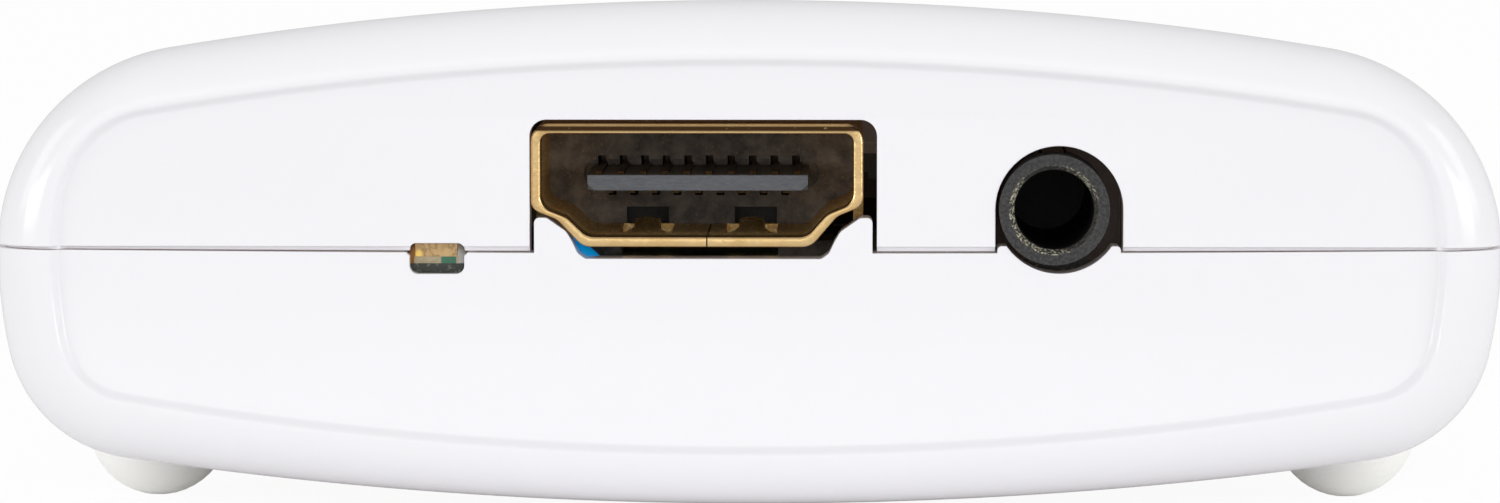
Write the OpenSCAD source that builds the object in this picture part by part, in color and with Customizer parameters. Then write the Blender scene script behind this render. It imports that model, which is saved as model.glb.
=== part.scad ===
// Small two-shell video capture box, seen end on: a white pebble-like case on
// four rubber domes, with a video socket, an audio jack and a status light in
// the front end and a data socket in the back end. X runs across the box, Y
// from the front end to the back end, Z up from the surface it stands on.

/* [Case] */
// Length from the front rim to the back rim
case_l = 92; // [80:1:110]
// Width across the parting line
case_w = 68.2; // [66:0.2:74]
// Height of the upper half above the parting line, at the front
upper_h = 11.45; // [10.8:0.05:13]
// Depth of the lower half below the parting line
lower_h = 11.55; // [11:0.05:13]
// Radius of the upper half's corners
upper_corner_r = 9.4; // [8.5:0.05:9.8]
// Radius of the lower half's corners
lower_corner_r = 6.3; // [5.5:0.1:7.5]
// Radius of the lower half's gently bowed sides
lower_side_r = 22; // [16:1:24]
// Angle over which the lower sides bow before the corner starts
lower_side_a = 12; // [10:1:18]
// Slope of the top just behind the front rim, in degrees
top_slope = 2.2; // [1.5:0.1:3]
// How much lower the top is at the back end
top_drop = 4; // [3.6:0.1:4.4]
// Thickness of the side, top and bottom walls
wall = 1.8; // [1.5:0.1:2]
// Thickness of the flat end panels
end_wall = 2; // [1.6:0.1:2.2]
// How far the rounding from the sides to the end rim reaches along the case
end_round = 2.6; // [2.2:0.1:3.2]
// Depth of each end panel behind its rim
panel_recess = 0.4; // [0.2:0.05:0.6]
// Width of the soft step from the rim down to the panel
panel_step = 0.45; // [0.3:0.05:0.6]
// Height of the reveal between the two shells
reveal_h = 0.3; // [0.15:0.01:0.3]
// How far the lip in the reveal is set back
reveal_d = 0.35; // [0.2:0.05:0.5]
// Gap between the lip and the lower rim
lip_gap = 0.04; // [0.02:0.01:0.08]

/* [End panel outline] */
// How far the rim is inside the case's sides
rim_side = 2.6; // [2.2:0.05:2.8]
// How far the rim is inside the case's top
rim_top = 2.6; // [2.1:0.05:2.8]
// How far the rim is inside the case's underside
rim_bottom = 2.4; // [2.2:0.05:2.8]
// Corner radius of the rim in the upper half
rim_upper_r = 4.85; // [4.4:0.05:5.4]
// Radius of the rim's bowed sides in the upper half
rim_upper_side_r = 12.3; // [10:0.1:16]
// Angle over which they bow before the corner starts
rim_upper_side_a = 14; // [10:1:18]
// Corner radius of the rim in the lower half
rim_lower_r = 3.5; // [3.2:0.1:4.2]
// Radius of the rim's bowed sides in the lower half
rim_lower_side_r = 22.5; // [18:0.5:26]
// Angle over which they bow before the corner starts
rim_lower_side_a = 10; // [8:1:13]

/* [Feet] */
// Diameter of a rubber foot where it leaves the case
foot_d = 6.4; // [5.5:0.1:7]
// Height of a foot's dome above the underside
foot_h = 2.5; // [2.2:0.1:2.8]
// Distance of the feet's middles from the sides of the case
foot_in = 6.3; // [5.6:0.1:7.6]
// Distance of the feet from the end rims
foot_y = 11; // [9:0.5:14]
// Depth of the pocket that a foot is glued into
foot_pocket = 0.5; // [0.3:0.1:0.8]
// How much the dome's tip is flattened by the weight
foot_flat = 0.05; // [0.03:0.01:0.08]

/* [Case screws] */
// Distance of the case screws from the sides of the case
case_screw_in = 7.5; // [6.7:0.1:8]
// Distance of the case screws from the end rims
case_screw_y = 24; // [20:0.5:28]
// Diameter of the case screws' threads
case_screw_d = 2.6; // [2.2:0.1:3]
// Diameter of the case screws' heads
case_head_d = 4.4; // [3.8:0.1:4.6]
// Height of the case screws' heads
case_head_h = 1.5; // [1.2:0.1:2]
// Diameter of the posts around the case screws
case_post_d = 6.2; // [5.8:0.1:6.6]
// Plastic left under a case screw's head
case_seat = 2.4; // [2:0.1:3]
// How far the case screws bite into the upper posts
case_bite = 6; // [4:0.5:7]
// Height at which the two posts meet, below the parting line
post_meet = 1; // [0.5:0.1:2]

/* [Board] */
// Width of the circuit board
board_w = 46; // [44:0.5:47]
// Thickness of the circuit board
board_t = 1.6; // [1.2:0.1:1.6]
// Depth of the board's top face below the parting line
board_drop = 0.52; // [0.46:0.01:0.6]
// Space between each end panel's inner face and the board's edge
board_gap = 1.6; // [1.5:0.1:2]
// Distance of the board screws from the middle
board_screw_x = 19.5; // [18:0.5:20]
// Distance of the front board screws from the front rim
board_screw_y1 = 21; // [19:0.5:24]
// Distance of the rear board screws from the back rim
board_screw_y2 = 9; // [8:0.5:11]
// Diameter of the board screws' threads
board_screw_d = 2; // [1.8:0.1:2.2]
// Diameter of the board screws' heads
board_head_d = 3.6; // [3.2:0.1:4]
// Height of the board screws' heads
board_head_h = 1.2; // [1:0.1:1.4]
// Diameter of the posts under the board
board_post_d = 5; // [4.6:0.1:5.6]
// How far the board screws bite into their posts
board_bite = 4.4; // [3:0.2:5]

/* [Video socket] */
// Sideways place of the socket's centre
video_x = -2.29; // [-2.5:0.01:-2.1]
// Outer width of the socket's metal shell
video_w = 15; // [14.6:0.1:15.2]
// Outer height of the socket's metal shell
video_h = 5.57; // [5.4:0.01:5.8]
// Sheet thickness of the shell
video_t = 0.46; // [0.4:0.02:0.5]
// Height of the shell's underside above the board
video_lift = 0.79; // [0.7:0.01:0.9]
// Length of the shell from its mouth back
video_l = 11.6; // [11:0.1:12.4]
// How far the mouth lies behind the end panel's face
video_inset = 0.2; // [0:0.05:0.5]
// Outer corner radius at the top of the shell
video_r = 0.85; // [0.7:0.05:1]
// Height at which the shell's sides turn in to the shoulders
video_shoulder = 1.8; // [1.7:0.02:1.9]
// Half width of the shell's narrow floor, outside
video_floor_w = 4.95; // [4.8:0.05:5.1]
// Depth from the mouth to the insulator's face
video_face = 9; // [8.6:0.1:9.4]
// Length of the moulded insulator block
insulator_l = 4.4; // [4:0.1:5]
// Width of the contact tongue
tongue_w = 10; // [9.8:0.1:10.2]
// Thickness of the contact tongue
tongue_t = 0.7; // [0.6:0.05:0.8]
// Height of the tongue's underside above the shell's underside
tongue_z = 2.46; // [2.36:0.02:2.56]
// Depth from the mouth to the tongue's tip
tongue_set = 1.5; // [1.2:0.1:2]
// Distance from one contact to the next
contact_pitch = 1; // [1:0.01:1.02]
// Width of a contact
contact_w = 0.3; // [0.26:0.01:0.34]
// Thickness of a contact
contact_t = 0.14; // [0.1:0.01:0.16]
// Gap beside each contact in its slot
contact_gap = 0.03; // [0.02:0.01:0.05]
// Top of the upper slots above the shell's underside
slot_top = 3.62; // [3.4:0.02:3.8]
// Bottom of the lower slots above the shell's underside
slot_bottom = 1.78; // [1.6:0.02:2]
// Width of the recess around the tongue's root
race_w = 10.9; // [10.6:0.1:11.2]
// Height of that recess
race_h = 1.28; // [1.1:0.02:1.4]
// Distance between the two retention springs
spring_pitch = 4.85; // [4.6:0.05:5.1]
// Width of a retention spring
spring_w = 1.9; // [1.6:0.1:2]
// Sheet thickness of a retention spring
spring_t = 0.24; // [0.2:0.02:0.3]
// Height of a retention spring's crest above the shell's floor
spring_rise = 0.42; // [0.3:0.02:0.5]
// Depth from the mouth to a retention spring's root
spring_root = 2.8; // [2.6:0.1:3]
// Length of a retention spring
spring_l = 6.6; // [6.4:0.1:6.8]

/* [Video cut-out] */
// Sideways place of the cut-out's centre
video_cut_x = -2; // [-2.1:0.01:-1.9]
// Width of the cut-out in the upper shell
video_cut_w = 15.65; // [15.5:0.05:16.4]
// Height of the cut-out above the parting line
video_cut_h = 6.03; // [6:0.01:6.4]
// Radius of the cut-out's upper corners
video_cut_r = 0.75; // [0.6:0.05:0.9]
// Gap between the cut-out's sides and the lower shell's tabs
tab_gap = 0.2; // [0.15:0.01:0.25]
// Height of the tabs above the parting line
tab_h = 1.6; // [1.4:0.05:1.7]
// Width of a tab's flat top
tab_w = 0.55; // [0.45:0.05:0.7]
// Depth of the notch between the tabs below the parting line
tab_notch = 0.25; // [0.2:0.01:0.3]

/* [Audio jack] */
// Sideways place of the jack's axis
jack_x = 13.81; // [13.7:0.01:14]
// Diameter of the jack's nose
jack_nose_d = 5; // [4.8:0.1:5]
// Diameter of the bore for the plug
jack_bore_d = 3.6; // [3.6:0.02:3.7]
// Diameter of the chamfer at the bore's mouth
jack_mouth_d = 4; // [3.9:0.05:4.3]
// Length of the bore
jack_bore_l = 14; // [13.5:0.1:14.5]
// How far the nose stands in front of the end panel's face
jack_proud = 0.1; // [0:0.05:0.3]
// Width of the jack's body
jack_w = 6.2; // [6:0.1:6.4]
// Height of the jack's body
jack_h = 5; // [5:0.1:5.2]
// Radius of the jack's opening in the shells
jack_cut_r = 2.88; // [2.84:0.01:2.95]
// Sideways place of the jack's opening
jack_cut_x = 14.03; // [13.9:0.01:14.1]
// Height of the horns on both sides of the jack
horn_h = 0.34; // [0.2:0.02:0.5]
// Width of a horn's top
horn_w = 0.52; // [0.4:0.02:0.7]
// Gap between a horn and the cut-out's side
horn_gap = 0.1; // [0.08:0.01:0.15]
// Width of a contact leaf
leaf_w = 1; // [0.8:0.05:1.1]
// Thickness of a contact leaf
leaf_t = 0.2; // [0.15:0.01:0.22]
// Distance of a leaf's inner face from the bore's axis
leaf_r = 2.3; // [2.25:0.01:2.35]
// How far a leaf's bump reaches into the bore
bump_in = 0.16; // [0.1:0.01:0.18]
// Clearance around a leaf in its channel
leaf_gap = 0.12; // [0.1:0.01:0.15]
// Length of a leaf
leaf_l = 5; // [4.6:0.1:5]
// Half the length of the bump at a leaf's end
bump_l = 1.2; // [1:0.1:1.4]
// Depth of the tip leaf's bump behind the jack's mouth
tip_bump = 12.2; // [12:0.1:12.4]
// Depth of the ring leaf's bump
ring_bump = 9; // [8.8:0.1:9.2]
// Depth of the sleeve leaf's bump
sleeve_bump = 6.4; // [6.2:0.1:6.6]

/* [Status light] */
// Sideways place of the light
light_x = -14.09; // [-14.2:0.01:-14]
// Width of the light across the board's edge
light_w = 2; // [1.8:0.05:2.1]
// Depth of the light along the board
light_l = 1.25; // [1.1:0.05:1.4]
// Height of the light above the board
light_h = 0.9; // [0.8:0.05:1]
// Height of the light's base under the resin
light_base_h = 0.3; // [0.25:0.05:0.4]
// Sideways place of the window's centre
window_x = -13.99; // [-14.1:0.01:-13.9]
// Width of the window
window_w = 2.43; // [2.3:0.01:2.5]
// Height of the window above the parting line
window_up = 0.45; // [0.4:0.01:0.5]
// Depth of the window below the parting line
window_down = 0.9; // [0.8:0.01:1]
// Size of the window's notches at the parting line
window_notch = 0.14; // [0.1:0.01:0.2]

// Depth of the light's front behind the panel's face
light_in = 0.85; // [0.7:0.05:1]
// Thickness left of the end panel in front of the light
light_wall = 0.6; // [0.5:0.05:0.7]
// Width of the board's tab under the light
light_tab_w = 2.4; // [2.2:0.1:2.6]
// Clearance around that tab inside the end panel
light_tab_gap = 0.25; // [0.2:0.05:0.4]

/* [Jumper wire] */
// Outer diameter of the wire's insulation
wire_d = 1.2; // [1.1:0.02:1.24]
// Where the wire crosses the gap under the video socket
wire_x = -7.39; // [-7.6:0.01:-7.2]

/* [Data socket] */
// Outer width of the socket's shell
data_w = 7.7; // [7.5:0.1:7.9]
// Outer height of the socket's shell
data_h = 3.9; // [3.8:0.1:4.1]
// Sheet thickness of the socket's shell
data_t = 0.35; // [0.3:0.05:0.4]
// Length of the socket's shell
data_l = 9.2; // [9:0.1:9.6]
// Clearance around the socket in the back panel
data_gap = 0.25; // [0.2:0.05:0.4]

// Thickness of the data socket's tongue
data_tongue_t = 1.1; // [1:0.1:1.2]
// Width of the data socket's tongue
data_tongue_w = 4.4; // [4:0.1:4.6]
// Height of the tongue above the board
data_tongue_z = 1.5; // [1.4:0.1:1.6]
// Depth of the moulded block at the data socket's back
data_block_l = 2.4; // [2:0.1:3]
// Spacing of the data socket's contacts
data_pitch = 0.8; // [0.7:0.05:0.85]
// Width of a data contact
data_contact_w = 0.4; // [0.3:0.05:0.5]
// Thickness of a data contact
data_contact_t = 0.12; // [0.1:0.01:0.2]

/* [Board parts] */
// Side of the video processor's square body
processor_w = 15; // [12:1:16]
// Height of the video processor
processor_h = 1.5; // [1:0.1:1.8]
// Width of the memory chip
memory_w = 13; // [10:1:14]
// Length of the memory chip
memory_l = 8; // [6:0.5:9]
// Height of the memory chip
memory_h = 1.1; // [0.9:0.1:1.4]
// Side of the data controller's square body
controller_w = 9; // [7:0.5:10]
// Height of the data controller
controller_h = 1; // [0.8:0.1:1.4]
// Side of the audio converter's square body
converter_w = 5; // [4:0.5:6]
// Height of the audio converter
converter_h = 0.9; // [0.7:0.1:1.2]
// Width of the crystal's can
crystal_w = 4.6; // [4.4:0.1:5]
// Length of the crystal's can
crystal_l = 10.8; // [10:0.1:11]
// Height of the crystal's can
crystal_h = 3.4; // [2.8:0.1:3.6]
// Side of the power inductor
inductor_w = 7; // [6:0.5:8]
// Height of the power inductor
inductor_h = 3.2; // [2.8:0.1:3.6]
// Diameter of a storage capacitor
capacitor_d = 5; // [4:0.5:6]
// Height of a storage capacitor
capacitor_h = 5; // [4:0.5:5]
// Length of a ceramic capacitor or resistor
small_l = 1.6; // [1:0.1:1.6]
// Width of a ceramic capacitor or resistor
small_w = 0.8; // [0.5:0.1:0.8]
// Height of a ceramic capacitor
ceramic_h = 0.8; // [0.5:0.1:0.9]
// Height of a resistor
resistor_h = 0.45; // [0.35:0.05:0.6]

/* [Hidden] */

// Smoothness of the round parts
round_fn = 48;
// Steps along the outline's side, corner and crown arcs, and along the end rounding
side_n = 3;
corner_n = 9;
crown_n = 7;
round_n = 6;
body_n = 5;

// A hair of overlap so that cuts pass right through
cut = 0.02;

// Height of the lowest point of a foot is zero; the rest follows from it
crown_lower_r = crown_radius(case_w / 2, lower_h, lower_side_r, lower_side_a, lower_corner_r);
foot_x = case_w / 2 - foot_in;
foot_tilt = asin(foot_x / crown_lower_r);
belly_at_foot = lower_h - crown_lower_r * (1 - cos(foot_tilt));
foot_sphere_r = (pow(foot_d / 2, 2) + pow(foot_h, 2)) / (2 * foot_h);
foot_centre_up = foot_sphere_r - foot_h;
part_z = belly_at_foot - foot_centre_up * cos(foot_tilt) + foot_sphere_r - foot_flat;

case_screw_x = case_w / 2 - case_screw_in;
front_y = -case_l / 2;
back_y = case_l / 2;
panel_y = front_y + panel_recess;
inner_front_y = panel_y + end_wall;
inner_back_y = back_y - panel_recess - end_wall;
board_front_y = inner_front_y + board_gap;
board_back_y = inner_back_y - board_gap;
board_top = -board_drop;
board_bottom = board_top - board_t;
light_y = panel_y + light_in;

video_y = panel_y + video_inset;
video_z = board_top + video_lift;
face_y = video_y + video_face;
insulator_back_y = face_y + insulator_l;
shoulder_w = 1.3;
shoulder_fall = 0.47;
tongue_root = 0.8;
block_foot_x = 3.6;
leg_y = [5.4, 10];
spring_slot_gap = 0.12;
spring_centre = 0.2;
leg_w = 1.4;
leg_below = 0.7;
leg_slot_gap = 0.2;
seam_x = 0.44;
seam_w = 0.06;

jack_z = board_top + jack_h / 2;
jack_y = panel_y - jack_proud;
jack_back_y = jack_y + jack_bore_l + 1;
mouth_l = 0.35;
skirt = 1;

data_y = back_y - panel_recess;
data_z = board_top;
data_block_y = data_y - data_l + data_block_l;

// Rim outlines share the centre plane with the case
function rim_w() = case_w / 2 - rim_side;

// Radius of the crown arc that closes a quarter outline tangentially
function corner_centre(w, rs, ts, rc) = [w - rs + (rs - rc) * cos(ts), (rs - rc) * sin(ts)];
function crown_radius(w, h, rs, ts, rc) =
  let (c = corner_centre(w, rs, ts, rc))
  (rc * rc - c[0] * c[0] - pow(c[1] - h, 2)) / (2 * (rc + c[1] - h));

function arc(c, r, a0, a1, n) =
  [for (i = [0 : n]) [c[0] + r * cos(a0 + (a1 - a0) * i / n), c[1] + r * sin(a0 + (a1 - a0) * i / n)]];

function tail(list) = [for (i = [1 : len(list) - 1]) list[i]];

// One quarter of an outline, from the side at the parting line up to the
// middle: side arc, corner arc and crown arc, moved inwards by e
function quarter(w, h, rs, ts, rc, e) =
  let (c2 = corner_centre(w, rs, ts, rc),
       rk = crown_radius(w, h, rs, ts, rc),
       c1 = [0, h - rk],
       t1 = atan2(c2[1] - c1[1], c2[0]))
  concat(arc([w - rs, 0], rs - e, 0, ts, side_n),
         tail(arc(c2, rc - e, ts, t1, corner_n)),
         tail(arc(c1, rk - e, t1, 90, crown_n)));

// The case's outline and the rim's, upper half or lower half, moved inwards by e
function case_quarter(up, e) = up
  ? quarter(case_w / 2, upper_h, upper_corner_r, lower_side_a, upper_corner_r, e)
  : quarter(case_w / 2, lower_h, lower_side_r, lower_side_a, lower_corner_r, e);
function rim_quarter(up, e) = up
  ? quarter(rim_w(), upper_h - rim_top, rim_upper_side_r, rim_upper_side_a, rim_upper_r, e)
  : quarter(rim_w(), lower_h - rim_bottom, rim_lower_side_r, rim_lower_side_a, rim_lower_r, e);

function mix(a, b, s) = [for (i = [0 : len(a) - 1]) a[i] * (1 - s) + b[i] * s];

// How far the top has fallen at depth d behind the front rim
function fall(d) =
  let (straight = case_l * tan(top_slope))
  d * tan(top_slope) + (top_drop - straight) * pow(d / case_l, 2);
function height_scale(up, d) = up ? (upper_h - fall(d)) / upper_h : 1;

// A half ring at depth d, from the right side over the middle to the left. It
// starts and ends past the parting line by the skirt
function half_ring(q, up, d) =
  let (k = height_scale(up, d) * (up ? 1 : -1),
       n = len(q),
       s = (up ? -1 : 1) * skirt,
       y = front_y + d)
  concat([[q[0][0], y, s]],
         [for (p = q) [p[0], y, p[1] * k]],
         [for (i = [n - 2 : -1 : 0]) [-q[i][0], y, q[i][1] * k]],
         [[-q[0][0], y, s]]);

// Closed solid through a list of rings that all have the same number of points
module loft(rings, flip) {
  n = len(rings[0]);
  m = len(rings);
  points = [for (r = rings) each r];
  front = [for (i = [0 : n - 1]) i];
  back = [for (i = [n - 1 : -1 : 0]) (m - 1) * n + i];
  sides = [for (j = [0 : m - 2]) for (i = [0 : n - 1])
    let (a = j * n + i, b = j * n + (i + 1) % n, c = b + n, d = a + n) [b, a, d, c]];
  faces = concat([front], sides, [back]);
  polyhedron(points, flip ? [for (f = faces) [for (i = [len(f) - 1 : -1 : 0]) f[i]]] : faces);
}

// Outer form of one half with its skirt, moved inwards by e: the recessed panel,
// the soft step up to the rim, the rounding and the long body
module outer_half(up, e) {
  step = [[panel_step, panel_recess], [panel_step * 0.75, panel_recess * 0.88],
          [panel_step * 0.25, panel_recess * 0.12]];
  front = concat(
    [for (s = step) half_ring(rim_quarter(up, e + s[0]), up, e + s[1])],
    [for (i = [0 : round_n]) let (a = 90 * i / round_n)
      half_ring(mix(rim_quarter(up, e), case_quarter(up, e), sin(a)), up,
                e + (end_round - e) * (1 - cos(a)))]);
  middle = [for (i = [1 : body_n - 1])
    half_ring(case_quarter(up, e), up, end_round + (case_l - 2 * end_round) * i / body_n)];
  back = concat(
    [for (i = [round_n : -1 : 0]) let (a = 90 * i / round_n)
      half_ring(mix(rim_quarter(up, e), case_quarter(up, e), sin(a)), up,
                case_l - e - (end_round - e) * (1 - cos(a)))],
    [for (i = [2 : -1 : 0]) half_ring(rim_quarter(up, e + step[i][0]), up, case_l - e - step[i][1])]);
  loft(concat(front, middle, back), up);
}

// Hollow of one half with its skirt
module hollow_half(up) {
  d0 = panel_recess + end_wall;
  d1 = case_l - d0;
  loft([for (i = [0 : body_n]) half_ring(case_quarter(up, wall), up, d0 + (d1 - d0) * i / body_n)], up);
}

module slab(z0, z1) {
  translate([-case_w, -case_l, z0]) cube([2 * case_w, 2 * case_l, z1 - z0]);
}

module lift() { translate([0, 0, part_z]) children(); }

// Corners of an outline rounded by arcs; each point is [x, y, radius]
function unit(v) = v / norm(v);
function corner_arc(a, b, c) =
  let (u = unit([a[0] - b[0], a[1] - b[1]]), v = unit([c[0] - b[0], c[1] - b[1]]),
       half = acos(max(-1, min(1, u * v))) / 2,
       r = b[2],
       m = [b[0], b[1]] + unit(u + v) * r / sin(half),
       p = [b[0], b[1]] + u * r / tan(half),
       q = [b[0], b[1]] + v * r / tan(half),
       a0 = atan2(p[1] - m[1], p[0] - m[0]),
       a1 = atan2(q[1] - m[1], q[0] - m[0]),
       turn = ((a1 - a0 + 540) % 360) - 180,
       n = max(1, ceil(abs(turn) / 22)))
  r <= 0 ? [[b[0], b[1]]] : [for (i = [0 : n]) m + r * [cos(a0 + turn * i / n), sin(a0 + turn * i / n)]];
function rounded(pts) =
  let (n = len(pts))
  [for (i = [0 : n - 1]) each corner_arc(pts[(i + n - 1) % n], pts[i], pts[(i + 1) % n])];

// Extrudes an outline drawn in X and Z backwards along Y
module along_y(y0, l) {
  translate([0, y0 + l, 0]) rotate([90, 0, 0]) linear_extrude(l) children();
}

module box(x0, x1, y0, y1, z0, z1) {
  translate([x0, y0, z0]) cube([x1 - x0, y1 - y0, z1 - z0]);
}

module post(x, y, d, z0, z1) {
  translate([x, y, z0]) cylinder(d = d, h = z1 - z0, $fn = round_fn);
}

// Repeats its children at the four case screws
module at_case_screws() {
  for (sx = [-1, 1], y = [front_y + case_screw_y, back_y - case_screw_y])
    translate([sx * case_screw_x, y, 0]) children();
}

module at_board_screws() {
  for (sx = [-1, 1], y = [front_y + board_screw_y1, back_y - board_screw_y2])
    translate([sx * board_screw_x, y, 0]) children();
}

// Openings in the front panel that both shells share
module jack_opening() {
  along_y(front_y - 1, end_wall + 3) union() {
    translate([jack_cut_x, jack_z]) circle(r = jack_cut_r, $fn = round_fn);
    translate([jack_cut_x - jack_cut_r, cut - reveal_h]) square([2 * jack_cut_r, jack_z - cut + reveal_h]);
  }
}

module jack_notch() {
  along_y(front_y - 1, end_wall + 3)
    translate([jack_cut_x, jack_z]) circle(r = jack_cut_r, $fn = round_fn);
}

module light_window() {
  h = window_w / 2;
  n = window_notch;
  along_y(front_y - 1, end_wall + 3) translate([window_x, 0]) polygon(rounded([
    [-h, -window_down, 0.38], [h, -window_down, 0.38], [h, -n, 0], [h + n, 0, 0], [h, n, 0],
    [h, window_up, 0.3], [-h, window_up, 0.3], [-h, n, 0], [-h - n, 0, 0], [-h, -n, 0]]));
}

// Outline of the data socket, moved outwards by g
module data_outline(g) {
  w = data_w / 2 + g;
  polygon(rounded([[-w, data_h + g, 0.6], [w, data_h + g, 0.6], [w, 1.3 - g, 0.4],
    [w - 0.9, -g, 0.4], [-w + 0.9, -g, 0.4], [-w, 1.3 - g, 0.4]]));
}

// Pocket inside the end panel for the light and the board's tab
module light_pocket() {
  w = light_tab_w / 2 + light_tab_gap;
  box(light_x - w, light_x + w, panel_y + light_wall, inner_front_y + 1,
      board_bottom - light_tab_gap, window_up + light_tab_gap);
}

module data_opening() {
  along_y(back_y - end_wall - 2, end_wall + 3) translate([0, data_z]) data_outline(data_gap);
}

module video_opening() {
  h = video_cut_w / 2;
  along_y(front_y - 1, end_wall + 3) translate([video_cut_x, 0]) polygon(rounded([
    [-h, -1, 0], [h, -1, 0], [h, video_cut_h, video_cut_r], [-h, video_cut_h, video_cut_r]]));
}

// Upstanding tab of the lower shell beside the video socket, drawn for the
// right side from the cut-out's centre: a flat top, a shoulder under the
// socket's flank and a foot that runs out into the notch
module tab_outline() {
  h = video_cut_w / 2 - tab_gap;
  polygon(rounded([[h, -1, 0], [h, tab_h, 0.24], [h - tab_w, tab_h, 0.3],
    [h - tab_w - 0.95, tab_h - 0.6, 0.5], [h - tab_w - 1.2, tab_h - 1.05, 0.4],
    [h - tab_w - 1.45, 0, 0.3], [h - tab_w - 1.75, -tab_notch, 0.3],
    [h - tab_w - 2.65, -tab_notch, 0], [h - tab_w - 2.65, -1, 0]]));
}

// Small horn of the lower shell beside the jack, drawn for the right side
module horn_outline() {
  h = jack_cut_r - horn_gap;
  polygon(rounded([[h, -1, 0], [h, horn_h, 0.2], [h - horn_w, horn_h, 0.24],
    [h - horn_w - 0.33, -0.5, 0], [h - horn_w - 0.33, -1, 0]]));
}

module top_shell() color("white") lift() difference() {
  union() {
    difference() {
      union() {
        intersection() { outer_half(true, 0); slab(reveal_h, upper_h + 1); }
        intersection() { outer_half(true, reveal_d); slab(lip_gap, reveal_h + cut); }
      }
      hollow_half(true);
    }
    intersection() {
      outer_half(true, wall / 2);
      at_case_screws() post(0, 0, case_post_d, -post_meet, upper_h);
    }
    // the posts pass below the parting line, inside the lower shell
    at_case_screws() post(0, 0, case_post_d, -post_meet, 1);
  }
  at_case_screws() post(0, 0, case_screw_d - 0.4, -post_meet - cut, case_bite - post_meet + 0.6);
  video_opening();
  jack_opening();
  light_window();
  light_pocket();
  data_opening();
}

module bottom_shell() color("white") lift() difference() {
  union() {
    difference() {
      intersection() { outer_half(false, 0); slab(-lower_h - 1, 0); }
      hollow_half(false);
      translate([video_cut_x - video_cut_w / 2 + tab_gap, front_y - 1, -tab_notch])
        cube([video_cut_w - 2 * tab_gap, end_wall + 3, 1]);
      data_opening();
    }
    intersection() {
      outer_half(false, wall / 2);
      union() {
        at_case_screws() post(0, 0, case_post_d, -lower_h, -post_meet);
        at_board_screws() post(0, 0, board_post_d, -lower_h, board_bottom);
      }
    }
    for (sx = [-1, 1]) {
      along_y(panel_y, end_wall) translate([video_cut_x, 0]) mirror([sx < 0 ? 1 : 0, 0]) tab_outline();
      along_y(panel_y, end_wall) translate([jack_cut_x, 0]) mirror([sx < 0 ? 1 : 0, 0]) horn_outline();
    }
    // seat inside the belly for each foot's glue pocket
    intersection() {
      outer_half(false, wall / 2);
      at_feet() post(0, 0, foot_d + 2.4, foot_pocket, foot_pocket + 1.6);
    }
  }
  at_case_screws() {
    post(0, 0, case_screw_d + 0.3, -lower_h - 1, 0);
    post(0, 0, case_head_d + 0.4, -lower_h - 1, -post_meet - case_seat);
  }
  at_board_screws() post(0, 0, board_screw_d - 0.4, board_bottom - board_bite - 0.6, board_bottom + cut);
  jack_notch();
  light_window();
  light_pocket();
  at_feet() post(0, 0, foot_d + 0.1, -1, foot_pocket);
}

// Repeats its children at the four feet, with the origin on the underside and
// the z axis along the surface's inward normal
module at_feet() {
  for (sx = [-1, 1], y = [front_y + foot_y, back_y - foot_y]) at_foot(sx, y) children();
}
module at_foot(sx, y) {
  translate([sx * crown_lower_r * sin(foot_tilt), y, -belly_at_foot])
    rotate([0, -sx * foot_tilt, 0]) children();
}

// A glued rubber dome: a ball's cap on a short plug, flattened where it stands
module foot(sx, y) color([0.9, 0.9, 0.88]) difference() {
  lift() at_foot(sx, y) rotate_extrude($fn = round_fn) polygon(concat(
    [[0, foot_pocket - cut], [foot_d / 2, foot_pocket - cut], [foot_d / 2, 0]],
    tail(arc([0, foot_centre_up], foot_sphere_r, -asin(foot_centre_up / foot_sphere_r), -90, 10))));
  translate([sx * foot_x - foot_d, y - foot_d, -1]) cube([2 * foot_d, 2 * foot_d, 1]);
}
module foot_front_left() foot(-1, front_y + foot_y);
module foot_front_right() foot(1, front_y + foot_y);
module foot_rear_left() foot(-1, back_y - foot_y);
module foot_rear_right() foot(1, back_y - foot_y);

// Cross-recessed pan-head screw pointing up, with its head's underside at zero
module screw(d, l, head_d, head_h) {
  cylinder(d = d, h = l, $fn = round_fn);
  difference() {
    translate([0, 0, -head_h]) cylinder(d = head_d, h = head_h, $fn = round_fn);
    for (a = [0, 90]) rotate([0, 0, a]) translate([-head_d * 0.3, -head_d * 0.07, -head_h - cut])
      cube([head_d * 0.6, head_d * 0.14, head_h * 0.6]);
  }
}

module case_screws() color("silver") lift()
  at_case_screws() translate([0, 0, -post_meet - case_seat])
    screw(case_screw_d - 0.44, case_seat + case_bite, case_head_d, case_head_h);

module board_screws() color("silver") lift()
  at_board_screws() translate([0, 0, board_top]) rotate([180, 0, 0])
    screw(board_screw_d - 0.44, board_t + board_bite, board_head_d, board_head_h);

module main_board() color([0.1, 0.3, 0.2]) lift() difference() {
  union() {
    box(-board_w / 2, board_w / 2, board_front_y, board_back_y, board_bottom, board_top);
    // tab that carries the light into the end panel's pocket
    box(light_x - light_tab_w / 2, light_x + light_tab_w / 2, light_y, board_front_y + 1,
        board_bottom, board_top);
  }
  at_board_screws() post(0, 0, board_screw_d + 0.3, board_bottom - 1, board_top + 1);
  at_legs() translate([-leg_slot_gap, -leg_slot_gap, board_bottom - 1])
    cube([video_t + 2 * leg_slot_gap, leg_w + 2 * leg_slot_gap, board_t + 2]);
  // corners cut back so that the case posts pass beside the board
  for (sx = [-1, 1], y = [front_y + case_screw_y, back_y - case_screw_y])
    post(sx * case_screw_x, y, case_post_d + 1, board_bottom - 1, board_top + 1);
}

// Repeats its children at the four legs of the video socket's shell
module at_legs() {
  for (sx = [-1, 1], d = leg_y)
    translate([video_x + (sx < 0 ? -video_w / 2 : video_w / 2 - video_t), video_y + d, 0]) children();
}

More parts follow.
